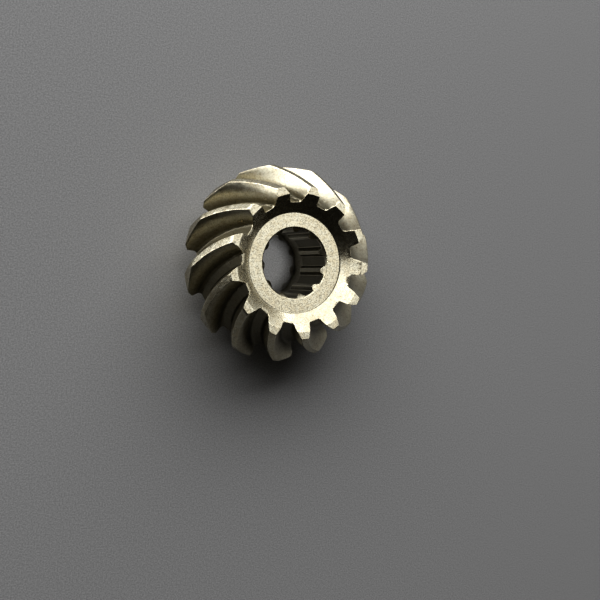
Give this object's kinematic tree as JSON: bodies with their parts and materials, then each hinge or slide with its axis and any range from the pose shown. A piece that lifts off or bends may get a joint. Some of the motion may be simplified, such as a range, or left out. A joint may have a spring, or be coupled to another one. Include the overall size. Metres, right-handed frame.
{
  "type": "spiral bevel pinion gear",
  "caption": "One-piece spiral bevel pinion with curved teeth, a short hub and an internally splined bore, for a right-angle drive.",
  "frame": {"origin": "centre of the hub's end face, on the axis of rotation, where the part stands", "axes": "+Z along the axis of rotation towards the small end of the teeth; +X through the middle of a tooth gap at mid-face"},
  "size_m": [0.0399, 0.0398, 0.0181],
  "materials": {
    "case_hardened_steel": "shot-blasted and ground case-hardened steel, warm matt sheen with fine dark speckle"
  },
  "bodies": {
    "root": {"bevel_pinion": "case_hardened_steel"}
  },
  "joints": []
}
